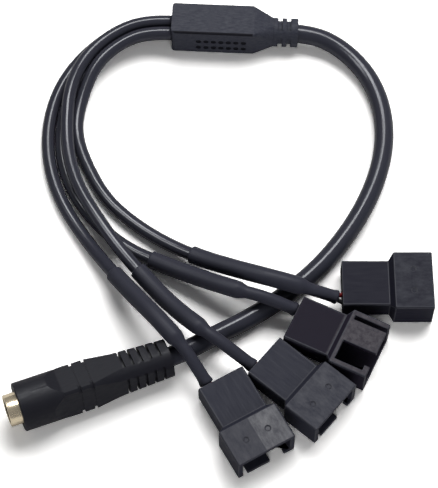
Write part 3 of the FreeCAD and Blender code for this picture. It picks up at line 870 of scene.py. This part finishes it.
@dataclass
class Jack:
    """The barrel-jack socket at the end of the main cable.

    Attributes:
        mouth: Centre of the nose's front face, in millimetres.
        axis: Direction from the mouth to the cable.
        edge: Width of the moulding's rounded edges, 0 for sharp ones.
        sleeve_out: How far the contact sleeve stands out of the mouth.
        sleeve_length: Length of the contact sleeve.
        sleeve_radius: Outer radius of the contact sleeve.
        bore_radius: Inner radius of the contact sleeve.
        rim: Rounding of the contact sleeve's rim.
        sides: Points on a ring of the contact sleeve.
    """

    mouth: Point = (-33.803, -92.689, 5.293)
    axis: Point = (0.91386, 0.40363, -0.04412)
    edge: float = 0.0
    sleeve_out: float = 2.4 * MM
    sleeve_length: float = 11.4 * MM
    sleeve_radius: float = 3.25 * MM
    bore_radius: float = 2.85 * MM
    rim: float = 0.15 * MM
    sides: int = 48

    @property
    def place(self) -> Matrix:
        """The jack's own level frame: its mouth, with X along it and Z up."""
        heading = math.atan2(self.axis[1], self.axis[0])
        return Matrix.Translation(Vector(self.mouth) * MM) @ Matrix.Rotation(heading, 4, "Z")

    def sleeve(self) -> bpy.types.Object:
        """The contact sleeve with a rounded rim and painted shade in its bore.

        Returns:
            The sleeve.
        """
        axis = Vector(self.axis).normalized()
        tip = Vector(self.mouth) * MM - axis * self.sleeve_out
        line = Line([tip, tip + axis * self.sleeve_length])
        stations = [
            (self.sleeve_length, self.bore_radius),
            (self.rim, self.bore_radius),
            (0.0, self.bore_radius + self.rim),
            (0.0, self.sleeve_radius - self.rim),
            (self.rim, self.sleeve_radius),
            (self.sleeve_length, self.sleeve_radius),
        ]
        mesh = swept("contact_sleeve", line, stations, self.sides, hollow=True)
        sleeve = add_piece(mesh, Finish.GOLD, ["jack_sleeve"])
        # The bore's faces get painted shade
        mesh.materials.append(Finish.BORE_PAINTED_SHADE.value.material())
        for face in mesh.polygons[:self.sides]:
            face.material_index = 1
        return sleeve

    def build(self) -> list[bpy.types.Object]:
        """Dress the moulding and the contacts.

        Returns:
            The pieces of the jack.
        """
        moulding = add_rounded(
            "jack_moulding", "jack_overmould", Finish.JACK_MOULD, self.edge, self.place)
        pieces = [moulding, self.sleeve()]
        for node, finish in (("jack_centre_pin", Finish.GOLD), ("jack_insulator", Finish.INSULATOR)):
            dress(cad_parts[node], finish)
            pieces.append(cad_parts[node])
        return pieces


@dataclass
class Trunk:
    """The splitter and the main cable to the jack.

    Attributes:
        route: The main cable's centreline.
        jack: What the main cable ends in.
        diameter: Diameter of the main cable.
        sides: Points on a ring of the main cable.
        edge: Width of the splitter's rounded edges.
        pits_middle: X of the middle of the pits in the splitter's front.
        pits_height: Height of the middle of the pits.
        pits_reach: Farthest place of a pit beside their middle.
        pits_rise: Farthest place of a pit above or below their middle.
        pits_start: Least depth of a pit's faces behind the front.
        dark_depth: Greatest depth of the pits' faces and of the upper front edge's, which get painted shade.
        edge_tilt: Least tilt of the upper front edge's faces, both forward and up.
        edge_turn: Greatest sideways tilt of those faces.
    """

    route: Route
    jack: Jack
    diameter: float = 4.1 * MM
    sides: int = 40
    edge: float = 0.07 * MM
    pits_middle: float = 2.0 * MM
    pits_height: float = 3.2 * MM
    pits_reach: float = 6.0 * MM
    pits_rise: float = 2.0 * MM
    pits_start: float = 0.1 * MM
    dark_depth: float = 0.5 * MM
    edge_tilt: float = 0.15
    edge_turn: float = 0.05

    def splitter(self) -> None:
        """Make the splitter's skin, with painted shade in the pits and along the upper front edge."""
        body = add_rounded("splitter_moulding", "splitter_body", Finish.OVERMOULD, self.edge)
        body.data.materials.append(Finish.SPLITTER_PAINTED_SHADE.value.material())
        front = min(vertex.co.y for vertex in body.data.vertices)
        top = max(vertex.co.z for vertex in body.data.vertices)
        for face in body.data.polygons:
            inward = face.center.y - front
            down = top - face.center.z
            slanted = face.normal.y < -self.edge_tilt and face.normal.z > self.edge_tilt
            straight = abs(face.normal.x) < self.edge_turn
            on_edge = slanted and straight and max(inward, down) < self.dark_depth
            beside = abs(face.center.x - self.pits_middle) < self.pits_reach
            level = abs(face.center.z - self.pits_height) < self.pits_rise
            in_pit = beside and level and self.pits_start < inward < self.dark_depth
            # Faces in the pits and along the upper front edge get painted shade
            if on_edge or in_pit:
                face.material_index = 1

    def build(self) -> None:
        self.splitter()
        line = self.route.line()
        stations = [(mark, self.diameter / 2) for mark in line.marks]
        mesh = swept("main_lead", line, stations, self.sides)
        cable = add_piece(mesh, Finish.JACKET, ["main_cable"])
        self.jack.build()


class Role(Enum):
    """What a soft box does."""

    SHINE = "seen in glossy surfaces"
    KEY = "lights matt surfaces and the table"


@dataclass
class SoftBox:
    """A soft area light.

    Attributes:
        name: The light's name.
        role: What it does.
        place: Where it stands, in metres.
        width: Width, in metres.
        depth: Depth, in metres.
        power: Power in watts.
        colour: Colour of the light.
    """

    name: str
    role: Role
    place: Point
    width: float
    depth: float
    power: float
    colour: Colour = (1.0, 0.99, 0.98)

    def build(self, aim: Vector) -> None:
        """Put the light into the scene.

        Args:
            aim: The point that it faces.
        """
        light = bpy.data.lights.new(self.name, "AREA")
        light.shape = "RECTANGLE"
        light.size = self.width
        light.size_y = self.depth
        light.energy = self.power
        light.color = self.colour
        holder = bpy.data.objects.new(self.name, light)
        holder.location = self.place
        holder.visible_diffuse = self.role is Role.KEY
        holder.visible_glossy = self.role is Role.SHINE
        holder.rotation_euler = (aim - Vector(self.place)).to_track_quat("-Z", "Y").to_euler()
        bpy.context.scene.collection.objects.link(holder)


@dataclass
class Studio:
    """White table, soft lights and camera.

    Attributes:
        aim: Point that the camera and the lights face, in metres.
        eye: The camera's place, in metres.
        lens: Focal length, in millimetres.
        sensor: Width of the sensor, in millimetres.
        near: Nearest distance that the camera sees, in metres.
        floor_size: Side of the table, in metres.
        fade_start: Distance from the aim at which the table starts to fade to white, in metres.
        fade_end: Distance from the aim at which the table is all white, in metres.
        floor_seen: The table's colour to the camera.
        floor_mirrored: The table's colour in glossy surfaces.
        floor_colour: The table's colour to all other rays.
        room_light: Strength of the room's light on matt surfaces.
        room_mirrored: Strength of the room in glossy surfaces.
        room_tint: The room's colour in glossy surfaces.
        boxes: The soft lights.
    """

    aim: Point = (0.00393, -0.05167, 0.0)
    eye: Point = (0.01245, -0.2258, 0.3376)
    lens: float = 148.5
    sensor: float = 36.0
    near: float = 0.01
    floor_size: float = 3.0
    fade_start: float = 0.10
    fade_end: float = 0.20
    floor_seen: Colour = (1.50, 1.50, 1.50)
    floor_mirrored: Colour = (0.50, 0.50, 0.50)
    floor_colour: Colour = (0.75, 0.75, 0.75)
    room_light: float = 0.12
    room_mirrored: float = 0.15
    room_tint: Colour = (0.9, 0.93, 1.0)
    boxes: list[SoftBox] = field(default_factory=lambda: [
        SoftBox("back_box", Role.SHINE, (-0.04, 0.24, 0.62), 0.34, 0.20, 3.9),
        SoftBox("left_box", Role.SHINE, (-0.33, -0.02, 0.60), 0.18, 0.26, 1.7),
        SoftBox("key_box", Role.KEY, (0.10, 0.32, 0.52), 0.60, 0.44, 5.8),
        SoftBox("front_box", Role.KEY, (0.10, -0.75, 0.22), 0.60, 0.30, 2.6),
    ])

    def build(self) -> None:
        """Put up the table, the world, the lights and the camera."""
        self.table()
        self.world()
        for box in self.boxes:
            box.build(Vector(self.aim))
        self.camera()
        bpy.context.scene.view_settings.view_transform = "Standard"

    def table(self) -> None:
        """A plain pale floor, which fades to white away from the cable."""
        half = self.floor_size / 2
        mesh = bpy.data.meshes.new("table_top")
        corners = [(-half, -half, 0), (half, -half, 0), (half, half, 0), (-half, half, 0)]
        mesh.from_pydata(corners, [], [(0, 1, 2, 3)])
        material = bpy.data.materials.new("table_white")
        material.use_nodes = True
        graph = Graph(material.node_tree)
        rays = graph.add("ShaderNodeLightPath")
        surface = graph.add("ShaderNodeBsdfDiffuse", Color=self.floor_colour).outputs["BSDF"]
        for ray, colour in (("Is Glossy Ray", self.floor_mirrored), ("Is Camera Ray", self.floor_seen)):
            other = graph.add("ShaderNodeBsdfDiffuse", Color=colour)
            surface = graph.blend(rays.outputs[ray], surface, other.outputs["BSDF"])
        away = graph.add("ShaderNodeVectorMath", {"operation": "DISTANCE"})
        graph.put(away.inputs[0], graph.add("ShaderNodeTexCoord").outputs["Object"])
        graph.put(away.inputs[1], self.aim)
        fade = graph.ramp(away.outputs["Value"], self.fade_start, self.fade_end)
        far = graph.times(fade, rays.outputs["Is Camera Ray"])
        white = graph.add("ShaderNodeEmission", Color=WHITE, Strength=1.0)
        surface = graph.blend(far, surface, white.outputs["Emission"])
        graph.add("ShaderNodeOutputMaterial", Surface=surface)
        mesh.materials.append(material)
        table = bpy.data.objects.new("table_top", mesh)
        bpy.context.scene.collection.objects.link(table)

    def world(self) -> None:
        """A pale room, white to the camera, which shows weakly in reflections."""
        world = bpy.data.worlds.new("studio")
        world.use_nodes = True
        bpy.context.scene.world = world
        graph = Graph(world.node_tree)
        rays = graph.add("ShaderNodeLightPath")
        room = graph.add("ShaderNodeBackground", Color=WHITE, Strength=self.room_light)
        mirrored = graph.add("ShaderNodeBackground", Color=self.room_tint, Strength=self.room_mirrored)
        seen = graph.add("ShaderNodeBackground", Color=WHITE, Strength=1.0)
        surface = room.outputs["Background"]
        for ray, other in (("Is Glossy Ray", mirrored), ("Is Camera Ray", seen)):
            surface = graph.blend(rays.outputs[ray], surface, other.outputs["Background"])
        graph.add("ShaderNodeOutputWorld", Surface=surface)

    def camera(self) -> None:
        """The camera at the photograph's place."""
        lens = bpy.data.cameras.new("camera")
        lens.sensor_fit = "HORIZONTAL"
        lens.sensor_width = self.sensor
        lens.lens = self.lens
        lens.clip_start = self.near
        holder = bpy.data.objects.new("camera", lens)
        holder.location = self.eye
        holder.rotation_euler = (Vector(self.aim) - Vector(self.eye)).to_track_quat("-Z", "Y").to_euler()
        bpy.context.scene.collection.objects.link(holder)
        bpy.context.scene.camera = holder


# The cords' control points, each from the splitter to the cord's far end
MAIN_ROUTE = Route("main_route", (
    (14.9, 0.0, 3.3),
    (21.6, 0.0, 3.3),
    (28.2, -2.7, 2.65),
    (34.3, -8.8, 2.05),
    (37.7, -17.0, 2.05),
    (38.5, -26.0, 2.05),
    (37.0, -35.0, 2.05),
    (33.8, -43.5, 2.05),
    (29.3, -51.5, 2.05),
    (24.0, -58.5, 2.05),
    (17.5, -64.7, 2.05),
    (10.5, -70.0, 2.05),
    (3.5, -74.3, 2.4),
    (-2.4, -78.82, 3.77),
    (-7.61, -81.12, 4.03),
))
ROUTE_1 = Route("route_1", (
    (-9.0, 2.03, 2.2),
    (-15.26, 2.03, 2.2),
    (-22.6, -1.53, 1.8),
    (-28.76, -7.79, 1.4),
    (-32.97, -15.99, 1.4),
    (-34.5, -25.42, 1.4),
    (-33.52, -34.7, 1.4),
    (-30.22, -43.57, 1.4),
    (-25.06, -51.4, 1.4),
    (-19.5, -58.6, 2.5),
    (-13.5, -66.2, 5.35),
    (-7.0, -73.6, 8.3),
    (-0.6, -80.4, 7.6),
    (3.66, -85.81, 3.35),
))
ROUTE_2 = Route("route_2", (
    (-9.0, 0.65, 4.79),
    (-14.94, 0.65, 4.79),
    (-21.79, -2.67, 4.39),
    (-27.51, -8.7, 4.07),
    (-30.2, -16.9, 4.4),
    (-30.24, -25.54, 4.07),
    (-29.23, -33.64, 3.99),
    (-26.5, -41.43, 4.17),
    (-21.84, -48.87, 4.39),
    (-16.5, -56.0, 4.05),
    (-10.5, -62.5, 3.5),
    (-4.5, -69.0, 4.6),
    (1.3, -74.4, 7.1),
    (6.8, -77.8, 6.3),
    (12.75, -81.12, 3.35),
))
ROUTE_3 = Route("route_3", (
    (-9.0, -0.85, 2.2),
    (-14.6, -0.85, 2.2),
    (-20.9, -3.9, 1.8),
    (-26.4, -9.5, 1.4),
    (-30.2, -16.9, 1.4),
    (-31.6, -25.5, 1.4),
    (-30.7, -34.0, 1.4),
    (-27.5, -42.0, 1.4),
    (-22.0, -49.0, 1.4),
    (-15.5, -54.3, 1.4),
    (-8.0, -58.0, 2.3),
    (0.0, -61.6, 3.9),
    (8.0, -65.0, 6.05),
    (15.5, -66.9, 6.25),
    (20.99, -68.21, 3.85),
))
ROUTE_4 = Route("route_4", (
    (-9.0, -2.35, 4.79),
    (-14.26, -2.35, 4.79),
    (-20.01, -5.13, 4.39),
    (-25.05, -10.48, 3.9),
    (-27.46, -17.8, 2.34),
    (-28.52, -25.59, 1.4),
    (-26.3, -32.91, 1.4),
    (-21.0, -42.5, 1.4),
    (-14.5, -48.3, 1.4),
    (-7.5, -52.8, 1.7),
    (0.0, -56.6, 2.9),
    (8.0, -59.8, 4.9),
    (15.5, -62.4, 6.65),
    (22.0, -63.9, 6.25),
    (29.83, -64.83, 3.35),
))


def main() -> None:
    """Build the studio and every piece in order."""
    logging.basicConfig(level=logging.INFO, format="%(message)s")
    Studio().build()
    Trunk(MAIN_ROUTE, Jack()).build()
    # Connectors 1 and 4 have lit and shaded copies of the housing's finish: a painted sheen and painted
    # shade
    connectors = (
        FanConnector(1, 0.00580, -0.08445, -57.6, Finish.HOUSING_PAINTED_SHEEN),
        FanConnector(2, 0.01430, -0.07910, -37.5, Finish.HOUSING),
        FanConnector(3, 0.02000, -0.07055, -23.0, Finish.HOUSING_UNDER, tongue_up=True),
        FanConnector(4, 0.02970, -0.06230, 2.9, Finish.HOUSING_PAINTED_SHADE),
    )
    routes = (ROUTE_1, ROUTE_2, ROUTE_3, ROUTE_4)
    sleeves = (
        Sleeve(21.5 * MM, 1.1 * MM),
        Sleeve(19.5 * MM, 0.75 * MM),
        Sleeve(20.5 * MM, 0.75 * MM),
        Sleeve(24.5 * MM, 1.2 * MM),
    )
    for connector, route, sleeve in zip(connectors, routes, sleeves):
        Branch(connector.number, route, sleeve, connector).build()


if __name__ == "__main__":
    main()
